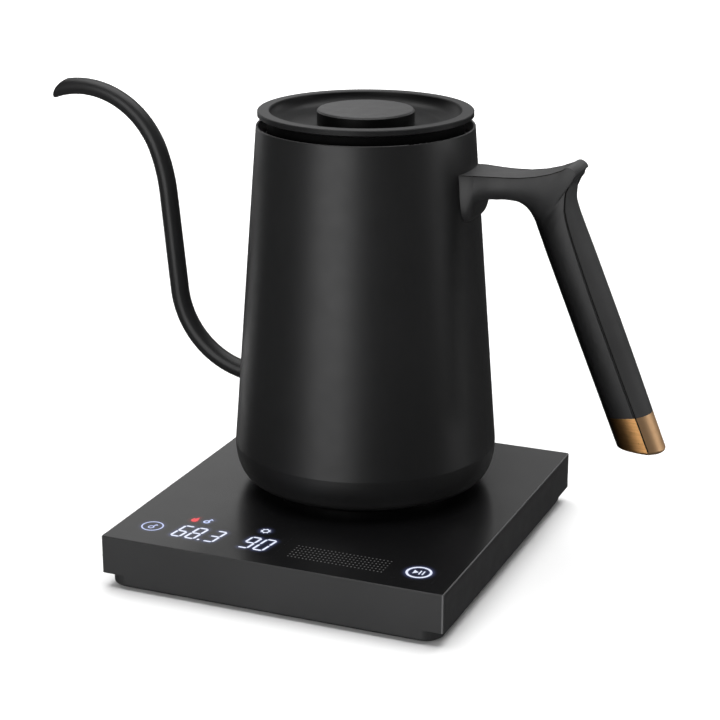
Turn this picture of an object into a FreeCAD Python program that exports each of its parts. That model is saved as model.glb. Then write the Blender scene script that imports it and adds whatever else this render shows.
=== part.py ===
import FreeCAD, Part
import math
import os

# Gooseneck electric kettle on a square-edged power base. Millimetres, +Z up.
# The kettle's own frame (used while modelling) has its origin on the vessel's axis at the level
# of the base's top face; every solid is moved to the row frame at the end.

# ---- driving dimensions -------------------------------------------------------------------
BASE_W = 146.6            # base width, X
BASE_D = 161.7            # base depth, Y
BASE_CY = -20.0           # base centre, in front of the vessel's axis
SHELL_H = 16.05           # side wall of the upper shell
SHELL_T = 1.8             # its wall
TOP_T = 1.6               # its top
TRAY_H = 4.95             # lower tray below the shell's edge
TRAY_X = 2.2              # tray set back from the shell at the left and right
TRAY_Y = 0.12             # and at the front and rear, where it is all but flush
TRAY_R = 7.8              # tray corner radius in plan
TRAY_F = 1.2              # rounding of the tray's bottom edge
FOOT_H = 1.3              # feet below the tray
AXIS_X = 7.4              # vessel axis in the row frame
AXIS_Y = 20.0
BASE_Z = SHELL_H + TRAY_H + FOOT_H     # base top above the table

MOUTH_Z = 154.7           # vessel mouth above the base top
MOUTH_R = 45.0            # outside radius at the mouth
WIDE_Z = 18.92            # widest level
WIDE_R = 55.65            # outside radius there
BELLY_A = 6.34            # bottom rounding, radial
BELLY_B = 14.42           # bottom rounding, vertical
WALL = 1.0                # vessel wall
PLATE_Z = 23.5            # underside of the heating plate
PLATE_T = 1.2

SPOUT_R0 = 3.94           # spout tube, outside radius at the root
SPOUT_R1 = 3.5            # and at the tip
SPOUT_WALL = 0.6

LID_TOP = 160.73          # top of the lid's rim
LID_R = 44.32             # outside radius of the lid's rim
LID_RIM = 4.6             # width of the rim's flat
NECK_R = 40.3             # lid's neck
KNOB_R = 20.0
KNOB_TOP = 161.0
LEDGE_Z = 144.2           # top of the ring inside the mouth that the lid rests on

CAP_SLOPE = 0.19          # slope of the end cap's upper edge
GRIP_END_Z = 30.6         # flat end of the grip
SEAM = 0.25               # seam of the grip's rear cover, beside the crease
GAP = 0.34                # open width of that seam

V = FreeCAD.Vector
os.makedirs("parts", exist_ok=True)
NODES = {}


def put(name, shape):
    if isinstance(shape, (list, tuple)):
        shape = Part.makeCompound(list(shape))
    NODES[name] = shape


def ring(r0, r1, z0, z1, c=(0.0, 0.0)):
    s = Part.makeCylinder(r1, z1 - z0, V(c[0], c[1], z0))
    if r0 > 0:
        s = s.cut(Part.makeCylinder(r0, z1 - z0, V(c[0], c[1], z0)))
    return s


def rev(points, angle=360.0):
    """Solid of revolution about Z from (r, z) points joined by straight lines."""
    vs = [V(r, 0, z) for r, z in points]
    face = Part.Face(Part.makePolygon(vs + [vs[0]]))
    return face.revolve(V(0, 0, 0), V(0, 0, 1), angle)


def rev_edges(edges, angle=360.0):
    return Part.Face(Part.Wire(edges)).revolve(V(0, 0, 0), V(0, 0, 1), angle)


def box(x0, x1, y0, y1, z0, z1):
    return Part.makeBox(x1 - x0, y1 - y0, z1 - z0, V(x0, y0, z0))


def rbox(x0, x1, y0, y1, z0, z1, r):
    """Box with rounded vertical edges."""
    b = box(x0, x1, y0, y1, z0, z1)
    es = [e for e in b.Edges if abs(e.Vertexes[0].Z - e.Vertexes[1].Z) > 1e-6]
    return b.makeFillet(r, es)


def line(a, b):
    return Part.makeLine(V(*a), V(*b))


def one(shape):
    """The largest solid of a result, as a plain solid."""
    s = sorted(shape.Solids, key=lambda q: -q.Volume)
    return s[0]


def try_fillet(shape, radii, edges):
    for r in radii:
        try:
            s = shape.makeFillet(r, edges)
            if s.isValid() and s.Volume > 0:
                return s
        except Exception:
            pass
    return shape


# ---- base ---------------------------------------------------------------------------------
X0, X1 = -BASE_W / 2, BASE_W / 2
Y0, Y1 = BASE_CY - BASE_D / 2, BASE_CY + BASE_D / 2

shell = box(X0, X1, Y0, Y1, -SHELL_H, 0)
shell = shell.makeFillet(0.7, [e for e in shell.Edges if abs(e.Vertexes[0].Z - e.Vertexes[1].Z) > 1e-6])
top_edges = [e for e in shell.Edges if all(abs(v.Z) < 1e-6 for v in e.Vertexes)]
shell = shell.makeChamfer(0.35, top_edges)
inner = box(X0 + SHELL_T, X1 - SHELL_T, Y0 + SHELL_T, Y1 - SHELL_T, -SHELL_H - 1, -TOP_T)
shell = shell.cut(inner)
BOSS = [(X0 + 11, Y0 + 42), (X1 - 11, Y0 + 42), (X0 + 11, Y1 - 11), (X1 - 11, Y1 - 11)]
for bx, by in BOSS:
    shell = shell.fuse(Part.makeCylinder(3.4, SHELL_H + 1.2 - TOP_T, V(bx, by, -SHELL_H - 1.2)))
    shell = shell.cut(Part.makeCylinder(1.25, 12, V(bx, by, -SHELL_H - 1.2)))
SOCKET_R = 20.2
shell = shell.cut(Part.makeCylinder(SOCKET_R, 10, V(0, 0, -5)))
GLAND_Z = -8.7
GLAND_X = 0.0
shell = shell.cut(Part.makeCylinder(5.5, 10, V(GLAND_X, Y1 - 5, GLAND_Z), V(0, 1, 0)))
put("base_shell", shell.removeSplitter())

# lower tray: set back from the shell, rounded below, with an upstand inside the shell
tb = rbox(X0 + TRAY_X, X1 - TRAY_X, Y0 + TRAY_Y, Y1 - TRAY_Y, -SHELL_H - TRAY_H, -SHELL_H, TRAY_R)
bottom_edges = [e for e in tb.Edges if all(abs(v.Z + SHELL_H + TRAY_H) < 1e-6 for v in e.Vertexes)]
tb = tb.makeFillet(TRAY_F, bottom_edges)
tray_floor_z = -SHELL_H - TRAY_H + 2.0
tray_in = rbox(X0 + 4.2, X1 - 4.2, Y0 + 3.8, Y1 - 3.8, tray_floor_z, 0, 5.4)
tray = tb.cut(tray_in)
# upstand just inside the shell's wall, which also closes the shell's corners from below
up = rbox(X0 + SHELL_T + 0.2, X1 - SHELL_T - 0.2, Y0 + SHELL_T + 0.2, Y1 - SHELL_T - 0.2,
          -SHELL_H - 0.8, -SHELL_H + 2.2, 1.0).cut(tray_in)
tray = tray.fuse(up)
for bx, by in BOSS:
    tray = tray.fuse(Part.makeCylinder(5.6, TRAY_H - 1.2, V(bx, by, -SHELL_H - TRAY_H)))
    tray = tray.cut(Part.makeCylinder(3.5, 20, V(bx, by, -SHELL_H - 1.2)))
    tray = tray.cut(Part.makeCylinder(1.6, 20, V(bx, by, -SHELL_H - TRAY_H - 1)))
    tray = tray.cut(Part.makeCylinder(3.0, 3.0, V(bx, by, -SHELL_H - TRAY_H)))
FEET = [(X0 + 27, Y0 + 16), (X1 - 27, Y0 + 16), (X0 + 27, Y1 - 16), (X1 - 27, Y1 - 16)]
FOOT_R = 7.0
for fx, fy in FEET:
    tray = tray.cut(Part.makeCylinder(FOOT_R, 0.9, V(fx, fy, -SHELL_H - TRAY_H)))
# ventilation slots under the power board
for k in range(6):
    tray = tray.cut(rbox(X0 + 22, X0 + 44, -12 + k * 6, -12 + k * 6 + 2.2,
                         -SHELL_H - TRAY_H - 1, tray_floor_z + 1, 1.0))
PB_POST = [(X0 + 16, -38), (X0 + 16, 36), (X0 + 50, -38), (X0 + 50, 36)]
PB_Z = -17.6
for px, py in PB_POST:
    tray = tray.fuse(Part.makeCylinder(2.6, PB_Z - tray_floor_z + 0.5, V(px, py, tray_floor_z - 0.5)))
    tray = tray.cut(Part.makeCylinder(1.0, 2.5, V(px, py, PB_Z - 2.5)))
tray = tray.cut(Part.makeCylinder(7.2, 14, V(GLAND_X, Y1 - 14, GLAND_Z), V(0, 1, 0)))
put("base_tray", tray.removeSplitter())
put("rubber_feet", [try_fillet(Part.makeCylinder(FOOT_R - 0.05, 0.9 + FOOT_H, V(x, y, -SHELL_H - TRAY_H - FOOT_H)),
                               [0.3], []) for x, y in FEET])
screws = []
for bx, by in BOSS:
    zh = -SHELL_H - TRAY_H + 3.0
    s = Part.makeCylinder(2.8, 1.6, V(bx, by, zh - 1.6)).fuse(Part.makeCylinder(1.2, 9.5, V(bx, by, zh - 0.1)))
    s = s.cut(box(bx - 1.5, bx + 1.5, by - 0.25, by + 0.25, zh - 1.7, zh - 0.9))
    s = s.cut(box(bx - 0.25, bx + 0.25, by - 1.5, by + 1.5, zh - 1.7, zh - 0.9))
    screws.append(s)
put("tray_screws", screws)

# cable gland in the rear wall, its bore along Y
g = lambda pts: Part.Face(Part.makePolygon([V(GLAND_X + r, y, GLAND_Z) for r, y in pts + [pts[0]]])).revolve(
    V(GLAND_X, 0, GLAND_Z), V(0, 1, 0), 360)
GLAND_R = 3.4
gland = g([(GLAND_R, Y1 - 12.0), (5.0, Y1 - 12.0), (6.6, Y1 - SHELL_T - 2.0), (6.6, Y1 - SHELL_T), (5.4, Y1 - SHELL_T),
           (5.4, Y1), (6.6, Y1), (6.2, Y1 + 1.1), (GLAND_R, Y1 + 1.1)])
put("cord_gland", gland)

# 360 degree connector in the base
socket = rev([(0, -13.0), (16.0, -13.0), (16.0, -4.2), (24.0, -4.2), (24.0, -TOP_T), (19.9, -TOP_T), (19.9, 0.45),
              (14.6, 0.45), (14.6, 6.4), (14.0, 7.0), (11.3, 7.0), (11.3, -2.0), (8.1, -2.0), (8.1, 7.0), (2.6, 7.0),
              (2.6, -4.0), (0, -4.0)])
put("base_socket", socket)
c_in = ring(8.35, 8.95, -2.0, 6.0)
c_out = ring(10.45, 11.05, -2.0, 6.0)
c_earth = ring(1.9, 2.4, -4.0, 6.0)
tabs = [box(9.6 + dx, 10.4 + dx, -2.4, 2.4, -18.0, -13.0) for dx in (-14.0, -3.0, 4.0)]
put("base_contacts", [c_in, c_out, c_earth] + tabs)
shutter = rev([(15.0, 0.75), (19.4, 0.75), (19.4, 2.2), (18.9, 2.7), (15.5, 2.7), (15.0, 2.2)])
put("shutter_ring", shutter)

# front control electronics, under the shell's top
CB_Z = -6.6
cb = rbox(X0 + 16, X1 - 5, Y0 + 4.5, Y0 + 34.5, CB_Z, CB_Z + 1.6, 1.0)
put("control_board", cb)
disp = box(X0 + 18, X0 + 72, Y0 + 9.5, Y0 + 32.5, CB_Z + 1.6, -TOP_T - 0.35)
for k, dx in enumerate((21.5, 30.5, 40.0, 53.0, 62.5)):
    disp = disp.cut(box(X0 + dx, X0 + dx + 7.0, Y0 + 12.2, Y0 + 22.0, -TOP_T - 2.2, -TOP_T))
disp = disp.cut(box(X0 + 25.0, X0 + 35.5, Y0 + 26.5, Y0 + 31.0, -TOP_T - 2.2, -TOP_T))
disp = disp.cut(box(X0 + 55.5, X0 + 62.0, Y0 + 26.5, Y0 + 31.0, -TOP_T - 2.2, -TOP_T))
put("display_module", disp)
put("touch_electrodes", [ring(0, 5.2, CB_Z + 1.6, -TOP_T - 0.3, (X0 + 130.9, Y0 + 15.9)),
                         box(X0 + 76.5, X0 + 118.5, Y0 + 10.0, Y0 + 22.0, CB_Z + 1.6, -TOP_T - 0.3)])
put("buzzer", ring(1.0, 6.0, CB_Z - 6.0, CB_Z, (X1 - 22, Y0 + 22)))
put("lock_key_electrode", ring(0, 3.8, -TOP_T - 1.2, -TOP_T - 0.02, (X0 + 13.6, Y0 + 16.4)))

# power electronics on the tray's posts, left of the connector
pbx0, pbx1, pby0, pby1 = X0 + 12, X0 + 54, -43, 41
pb = rbox(pbx0, pbx1, pby0, pby1, PB_Z, PB_Z + 1.6, 1.5)
for px, py in PB_POST:
    pb = pb.cut(Part.makeCylinder(1.3, 5, V(px, py, PB_Z - 1)))
put("power_board", pb)
zt = PB_Z + 1.6
put("relay", rbox(pbx0 + 8, pbx0 + 23, 14, 33, zt, zt + 12.5, 0.8))
put("film_capacitor", rbox(pbx0 + 26, pbx0 + 34, 14, 32, zt, zt + 11.0, 0.8))
tr = rbox(pbx0 + 6, pbx0 + 22, -10, 6, zt, zt + 11.5, 0.5)
put("transformer", tr)
hs = box(pbx0 + 8, pbx0 + 33, -34, -24, zt, zt + 12.0)
for k in range(5):
    hs = hs.cut(box(pbx0 + 10 + k * 5, pbx0 + 12.6 + k * 5, -34.1, -27.2, zt + 1.5, zt + 12.1))
put("heat_sink", hs)
put("power_triac", box(pbx0 + 15, pbx0 + 25, -24, -19.6, zt, zt + 9.5))
tb2 = box(pbx0 + 25, pbx0 + 37, -12, 2, zt, zt + 8.5)
for k in range(3):
    tb2 = tb2.cut(Part.makeCylinder(1.3, 5, V(pbx0 + 31, -9.6 + k * 4.6, zt + 6)))
put("terminal_block", tb2)
put("board_screws", [Part.makeCylinder(2.2, 1.4, V(x, y, zt)).fuse(Part.makeCylinder(0.95, 4.0, V(x, y, zt - 3.9)))
                     for x, y in PB_POST])

# ---- kettle vessel -------------------------------------------------------------------------
K = (WIDE_R - MOUTH_R) / (MOUTH_Z - WIDE_Z)


def wall_r(z):
    return MOUTH_R + (MOUTH_Z - z) * K


def ellipse_arc(cx, cz, a, b):
    """Quarter ellipse from (cx + a, cz) down to (cx, cz - b), in the XZ plane."""
    pts = []
    for i in range(17):
        t = math.pi / 2 * i / 16
        pts.append(V(cx + a * math.cos(t), 0, cz - b * math.sin(t)))
    s = Part.BSplineCurve()
    s.interpolate(pts, InitialTangent=V(0, 0, -1), FinalTangent=V(-1, 0, 0))
    return s.toShape()


cx = WIDE_R - BELLY_A
zb = WIDE_Z - BELLY_B
rim = 0.5
outer = ellipse_arc(cx, WIDE_Z, BELLY_A, BELLY_B)
inner_e = ellipse_arc(cx, WIDE_Z, BELLY_A - WALL, BELLY_B - WALL)
LIP_R = 46.3
p_rim_out = V(MOUTH_R, 0, MOUTH_Z - rim)
p_rim_top = V(MOUTH_R - rim, 0, MOUTH_Z)
p_rim_in = V(MOUTH_R - WALL, 0, MOUTH_Z - rim)
edges = [
    Part.makeLine(p_rim_out, V(WIDE_R, 0, WIDE_Z)),
    outer,
    Part.makeLine(V(cx, 0, zb), V(LIP_R, 0, zb)),
    Part.makeLine(V(LIP_R, 0, zb), V(LIP_R, 0, zb + WALL)),
    Part.makeLine(V(LIP_R, 0, zb + WALL), V(cx, 0, zb + WALL)),
    inner_e,
    Part.makeLine(V(WIDE_R - WALL, 0, WIDE_Z), p_rim_in),
    Part.Arc(p_rim_in, p_rim_top, p_rim_out).toShape(),
]
vessel = rev_edges(edges)
# filled body out to the outside surface, and the cavity, used to trim what meets the wall
solid_out = rev([(0, zb), (cx, zb), (WIDE_R, WIDE_Z), (MOUTH_R, MOUTH_Z), (0, MOUTH_Z)])
KI = (WIDE_R - MOUTH_R) / (MOUTH_Z - rim - WIDE_Z)
cavity = rev([(0, PLATE_Z - 3), (WIDE_R - WALL - (PLATE_Z - 3 - WIDE_Z) * KI, PLATE_Z - 3),
              (MOUTH_R - WALL, MOUTH_Z - rim), (MOUTH_R - WALL, MOUTH_Z), (0, MOUTH_Z)])

# ---- spout ---------------------------------------------------------------------------------
# straight runs and tangent arcs in the plane y = 0, from inside the wall to the tip
SP = [("l", 12.07), ("a", 38.08, 69.74), ("l", 42.6), ("a", 73.3, -14.55), ("a", 38.93, -74.59), ("a", 40.0, -16.5)]
pos, h = (-48.0, 38.59), math.radians(14.68)
sp_edges, marks = [], [(pos, h)]
for seg in SP:
    if seg[0] == "l":
        q = (pos[0] - seg[1] * math.cos(h), pos[1] + seg[1] * math.sin(h))
        sp_edges.append(Part.makeLine(V(pos[0], 0, pos[1]), V(q[0], 0, q[1])))
        pos = q
    else:
        R, a = seg[1], math.radians(seg[2])
        s = 1 if a > 0 else -1
        n = (math.sin(h) * s, math.cos(h) * s)        # towards the arc's centre
        c = (pos[0] + R * n[0], pos[1] + R * n[1])

        def at(d):
            hh = h + d
            return (c[0] - R * math.sin(hh) * s, c[1] - R * math.cos(hh) * s)
        m, q = at(a / 2), at(a)
        sp_edges.append(Part.Arc(V(pos[0], 0, pos[1]), V(m[0], 0, m[1]), V(q[0], 0, q[1])).toShape())
        pos, h = q, h + a
    marks.append((pos, h))
spine = Part.Wire(sp_edges)


def tube(r0, r1):
    """Tube solid along the spine: full radius to the top of the straight run, then easing to r1."""
    def circ(mark, r):
        (x, z), hh = mark
        return Part.Wire([Part.makeCircle(r, V(x, 0, z), V(-math.cos(hh), 0, math.sin(hh)))])
    try:
        mk = Part.BRepOffsetAPI.MakePipeShell(spine)
        mk.setFrenetMode(True)
        mk.add(circ(marks[0], r0))
        mk.add(circ(marks[3], r0))
        mk.add(circ(marks[-1], r1))
        mk.build()
        mk.makeSolid()
        s = mk.shape()
        if s.isValid() and s.Volume > 0:
            return s
    except Exception as e:
        print("tapered spout failed:", e)
    mk = Part.BRepOffsetAPI.MakePipeShell(spine)
    mk.setFrenetMode(True)
    mk.add(circ(marks[0], (r0 + r1) / 2 + 0.1))
    mk.build()
    mk.makeSolid()
    return mk.shape()


sp_out = tube(SPOUT_R0, SPOUT_R1)
sp_in = tube(SPOUT_R0 - SPOUT_WALL, SPOUT_R1 - SPOUT_WALL)
# the curved, slanting cut of the pouring tip
cut_w = Part.Wire([
    Part.Arc(V(-136.9, 0, 165.0), V(-143.6, 0, 160.6), V(-146.35, 0, 154.0)).toShape(),
    Part.makeLine(V(-146.35, 0, 154.0), V(-160, 0, 154.0)),
    Part.makeLine(V(-160, 0, 154.0), V(-160, 0, 172)),
    Part.makeLine(V(-160, 0, 172), V(-136.9, 0, 172)),
    Part.makeLine(V(-136.9, 0, 172), V(-136.9, 0, 165.0)),
])
tip_cut = Part.Face(cut_w).extrude(V(0, 40, 0))
tip_cut.translate(V(0, -20, 0))
spout = one(sp_out.cut(sp_in).cut(tip_cut).cut(cavity))
vessel = one(vessel.cut(sp_out))
put("spout_tube", spout)
put("vessel", vessel)
print("spout volume", round(spout.Volume), "vessel", round(vessel.Volume))

# ---- inside and under the vessel -----------------------------------------------------------
PROBE = (14.0, 10.0)
plate = one(Part.makeCylinder(70, PLATE_T, V(0, 0, PLATE_Z)).common(cavity))
plate = plate.cut(Part.makeCylinder(4.0, 10, V(PROBE[0], PROBE[1], PLATE_Z - 2)))
put("heating_plate", plate)
put("heat_spreader", ring(0, 42.0, PLATE_Z - 3.0, PLATE_Z).cut(
    Part.makeCylinder(6.0, 10, V(PROBE[0], PROBE[1], PLATE_Z - 5))))
el = rev([(28.5, 14.2), (30.0, 13.2), (34.0, 13.2), (35.5, 14.2), (35.5, PLATE_Z - 3.0), (28.5, PLATE_Z - 3.0)], 320)
el.rotate(V(0, 0, 0), V(0, 0, 1), 110)
el = el.fuse(Part.makeCylinder(1.6, 4.0, V(32 * math.cos(math.radians(114)), 32 * math.sin(math.radians(114)), 9.4)))
el = el.fuse(Part.makeCylinder(1.6, 4.0, V(32 * math.cos(math.radians(66)), 32 * math.sin(math.radians(66)), 9.4)))
put("heating_element", el)
put("temperature_probe", ring(0, 2.2, 13.4, 38.0, PROBE).fuse(ring(0, 3.6, 13.4, 16.0, PROBE)))
put("probe_seal", rev([(2.2, 20.0), (5.6, 20.0), (5.6, PLATE_Z), (4.0, PLATE_Z), (4.0, PLATE_Z + PLATE_T),
                       (5.4, PLATE_Z + PLATE_T), (4.6, PLATE_Z + PLATE_T + 1.6), (2.2, PLATE_Z + PLATE_T + 1.6)])
    .translated(V(PROBE[0], PROBE[1], 0)))
put("thermal_cutout", [ring(0, 7.5, 16.4, 20.5, (-12.0, -8.0)).fuse(ring(0, 5.0, 14.4, 16.4, (-12.0, -8.0)))])

BC_R = LIP_R - 0.1
cover = rev([(23.2, 3.2), (24.8, 3.2), (24.8, 4.5), (36.0, 4.5), (36.0, 0.02), (39.0, 0.02), (39.6, 0.6), (39.6, 4.5),
             (BC_R, 4.5), (BC_R, 5.5), (47.6, 5.55), (47.6, 6.6), (BC_R, 7.4), (44.4, 7.4), (44.4, 6.3), (25.0, 6.3),
             (25.0, 11.0), (23.2, 11.0)])
CS = [(30.5 * math.cos(math.radians(a)), 30.5 * math.sin(math.radians(a))) for a in (30, 150, 270)]
for sx, sy in CS:
    cover = cover.cut(Part.makeCylinder(1.7, 10, V(sx, sy, 2)))
put("bottom_cover", cover)
put("bottom_screws", [Part.makeCylinder(2.9, 1.5, V(x, y, 3.0)).fuse(Part.makeCylinder(1.5, 6.5, V(x, y, 4.4)))
                      .cut(box(x - 1.6, x + 1.6, y - 0.3, y + 0.3, 2.9, 3.7)) for x, y in CS])
plug = rev([(15.0, 3.1), (23.1, 3.1), (23.1, 12.4), (27.0, 12.4), (27.0, 13.0), (0, 13.0), (0, 7.7), (15.0, 7.7)])
plug = plug.cut(ring(9.35, 10.05, 7.0, 13.5)).cut(Part.makeCylinder(1.5, 8, V(0, 0, 6.5)))
put("kettle_plug", plug)
put("kettle_contacts", [ring(9.35, 10.05, -1.2, 14.2), ring(0, 1.5, -2.6, 15.5)])

# ---- handle --------------------------------------------------------------------------------
# sections from the flange on the vessel, along the arm, round the thumb rest, down the grip:
# (outer x, outer z, inner x, inner z, half width, bulge of the outer face, squareness)
HS = [
    (43.0, 139.3, 43.0, 119.5, 11.9, 0.04, 6.0),
    (46.8, 139.4, 46.8, 119.6, 11.6, 0.04, 6.0),
    (48.9, 139.45, 48.9, 119.9, 11.3, 0.04, 5.8),
    (50.1, 139.45, 50.1, 122.6, 11.0, 0.04, 5.5),
    (51.3, 139.45, 51.2, 126.0, 10.7, 0.04, 5.2),
    (53.4, 139.45, 53.2, 128.3, 10.25, 0.04, 5.0),
    (57.0, 139.4, 56.6, 129.2, 9.5, 0.05, 4.8),
    (62.5, 139.45, 62.0, 129.5, 8.85, 0.06, 4.5),
    (69.0, 139.75, 66.7, 129.1, 8.4, 0.08, 4.0),
    (75.5, 140.75, 69.6, 127.7, 8.2, 0.10, 3.5),
    (81.5, 142.35, 71.7, 125.5, 8.2, 0.15, 3.1),
    (86.2, 144.25, 73.0, 123.4, 8.4, 0.25, 2.9),
    (88.6, 145.65, 73.7, 121.9, 8.6, 0.35, 2.7),
    (89.9, 145.75, 74.0, 121.0, 8.7, 0.45, 2.6),
    (91.5, 144.2, 74.4, 120.1, 8.7, 0.7, 2.5),
    (92.45, 142.95, 74.7, 119.3, 8.6, 0.9, 2.5),
    (92.0, 141.9, 75.0, 118.4, 8.5, 1.2, 2.5),
    (90.1, 139.5, 75.5, 117.1, 8.3, 2.2, 2.4),
    (88.5, 136.9, 76.1, 115.6, 8.1, 3.0, 2.4),
    (87.75, 133.2, 76.9, 113.7, 8.1, 3.6, 2.35),
    (87.75, 128.9, 78.0, 110.9, 8.2, 4.1, 2.3),
    (88.7, 124.2, 79.4, 107.6, 8.3, 4.6, 2.3),
    (90.9, 117.7, 81.6, 102.3, 8.5, 5.0, 2.25),
    (94.2, 109.0, 84.4, 95.6, 8.6, 5.3, 2.25),
    (98.6, 97.6, 88.0, 86.9, 8.6, 5.4, 2.2),
    (105.0, 81.9, 93.3, 74.0, 8.5, 5.3, 2.2),
    (112.6, 63.5, 100.3, 57.2, 8.3, 5.2, 2.2),
    (120.0, 45.7, 107.6, 39.6, 8.0, 5.0, 2.2),
    (128.6, 25.0, 116.2, 18.9, 7.7, 4.8, 2.2),
]


def resample(rows, step):
    """Evenly spaced sections, each number following a monotone cubic along the handle."""
    s = [0.0]
    for a, b in zip(rows, rows[1:]):
        s.append(s[-1] + 0.5 * (math.hypot(b[0] - a[0], b[1] - a[1]) + math.hypot(b[2] - a[2], b[3] - a[3])))
    n = len(rows)

    def slopes(y):
        d = [(y[i + 1] - y[i]) / (s[i + 1] - s[i]) for i in range(n - 1)]
        m = [d[0]]
        for i in range(1, n - 1):
            if d[i - 1] * d[i] <= 0:
                m.append(0.0)
            else:
                h0, h1 = s[i] - s[i - 1], s[i + 1] - s[i]
                w0, w1 = 2 * h1 + h0, h1 + 2 * h0
                m.append((w0 + w1) / (w0 / d[i - 1] + w1 / d[i]))
        return m + [d[-1]]
    cols = [[r[k] for r in rows] for k in range(7)]
    ms = [slopes(y) for y in cols]
    count = max(2, int(round(s[-1] / step)))
    out = []
    for j in range(count + 1):
        x = s[-1] * j / count
        i = min(n - 2, max(k for k in range(n - 1) if s[k] <= x + 1e-9))
        h = s[i + 1] - s[i]
        t = (x - s[i]) / h
        row = []
        for y, m in zip(cols, ms):
            row.append((2 * t ** 3 - 3 * t ** 2 + 1) * y[i] + (t ** 3 - 2 * t ** 2 + t) * h * m[i]
                       + (-2 * t ** 3 + 3 * t ** 2) * y[i + 1] + (t ** 3 - t ** 2) * h * m[i + 1])
        out.append(tuple(row))
    return out


HS_FINE = resample(HS, 2.4)
HS_REAR = resample(HS[16:], 3.0)


def section(s, grow=0.0):
    """Closed wire: bulged outer face from crease to crease, and the rounded inner side."""
    ox, oz, ix, iz, hw, bulge, n = s
    u = V(ox - ix, 0, oz - iz)
    depth = u.Length
    u.normalize()
    o = V(ox, 0, oz)
    a, b = o + V(0, hw, 0), o + V(0, -hw, 0)
    back = Part.Arc(b, o + u * bulge, a).toShape()
    pts = []
    m = 18
    for i in range(m + 1):
        t = math.pi * i / m
        cs, sn = math.cos(t), (0.0 if i in (0, m) else math.sin(t))
        v = hw * (abs(cs) ** (2.0 / n)) * (1 if cs >= 0 else -1)
        w = depth * (abs(sn) ** (2.0 / n))
        pts.append(o - u * w + V(0, v, 0))
    c = Part.BSplineCurve()
    c.interpolate(pts)
    return Part.Wire([back, c.toShape()])


def cover_section(s, gap=0.0):
    """Outline that carves the rear cover out of the grip, its seam beside the creases."""
    ox, oz, ix, iz, hw, bulge, n = s
    u = V(ox - ix, 0, oz - iz)
    u.normalize()
    o = V(ox, 0, oz)
    a0, a1 = -1.9 + gap, -SEAM + 0.35 + gap
    q = [(a0, -(hw - 2.2)), (a1, -(hw + 0.9)), (bulge + 2.5, -(hw + 0.9)),
         (bulge + 2.5, hw + 0.9), (a1, hw + 0.9), (a0, hw - 2.2)]
    vs = [o + u * a + V(0, b, 0) for a, b in q]
    return Part.makePolygon(vs + [vs[0]])


handle = Part.makeLoft([section(s) for s in HS_FINE], True, False)
print("handle loft valid", handle.isValid(), round(handle.Volume))
handle = handle.cut(box(60, 160, -30, 30, 0, GRIP_END_Z))
handle = one(handle.cut(solid_out))
# end cap: everything below the slanting joint line
cpx, cpz = 119.95, 45.84
below = Part.Face(Part.makePolygon([V(cpx - 40, -30, cpz - 40 * CAP_SLOPE), V(cpx + 40, -30, cpz + 40 * CAP_SLOPE),
                                    V(cpx + 40, -30, 0), V(cpx - 40, -30, 0),
                                    V(cpx - 40, -30, cpz - 40 * CAP_SLOPE)])).extrude(V(0, 60, 0))
end_cap = one(handle.common(below))
body = one(handle.cut(below))
end_edges = [e for e in end_cap.Edges if all(abs(v.Z - GRIP_END_Z) < 1e-4 for v in e.Vertexes)]
end_cap = try_fillet(end_cap, [1.2, 0.9, 0.6, 0.4], end_edges)
# the cap's spigot goes up into the grip
sg0 = V(113.0, 0, 43.0)
spigot = Part.makeCylinder(4.6, 14.0, sg0, V(-0.384, 0, 0.923))
end_cap = end_cap.fuse(spigot)
# rear cover of the grip
cover_tool = Part.makeLoft([cover_section(s) for s in HS_REAR], True, False)
cover_tool2 = Part.makeLoft([cover_section(s, GAP) for s in HS_REAR], True, False)
back_cover = one(body.common(cover_tool2))
body = one(body.cut(cover_tool))
body = body.cut(spigot)
# cavity for the steel bracket, and the screw from under the arm
cav = box(40, 63, -5.2, 5.2, 131.6, 137.2)
body = body.cut(cav)
bracket = box(43, 62.5, -5.0, 5.0, 132.2, 136.6).cut(solid_out)
HX = 57.0
body = body.cut(Part.makeCylinder(2.05, 12, V(HX, 0, 125.0)))
body = body.cut(Part.makeCylinder(3.9, 4.0, V(HX, 0, 126.6)))
bracket = bracket.cut(Part.makeCylinder(1.9, 12, V(HX, 0, 128)))
hscrew = Part.makeCylinder(3.5, 1.7, V(HX, 0, 128.9)).fuse(Part.makeCylinder(1.85, 5.6, V(HX, 0, 130.5)))
hscrew = hscrew.cut(Part.makeCylinder(1.2, 1.0, V(HX, 0, 128.8)))
put("handle_body", body)
put("handle_rear_cover", back_cover)
put("handle_end_cap", end_cap)
put("handle_bracket", one(bracket))
put("handle_screw", hscrew)
print("handle body", round(body.Volume), "cover", round(back_cover.Volume), "cap", round(end_cap.Volume))

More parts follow.
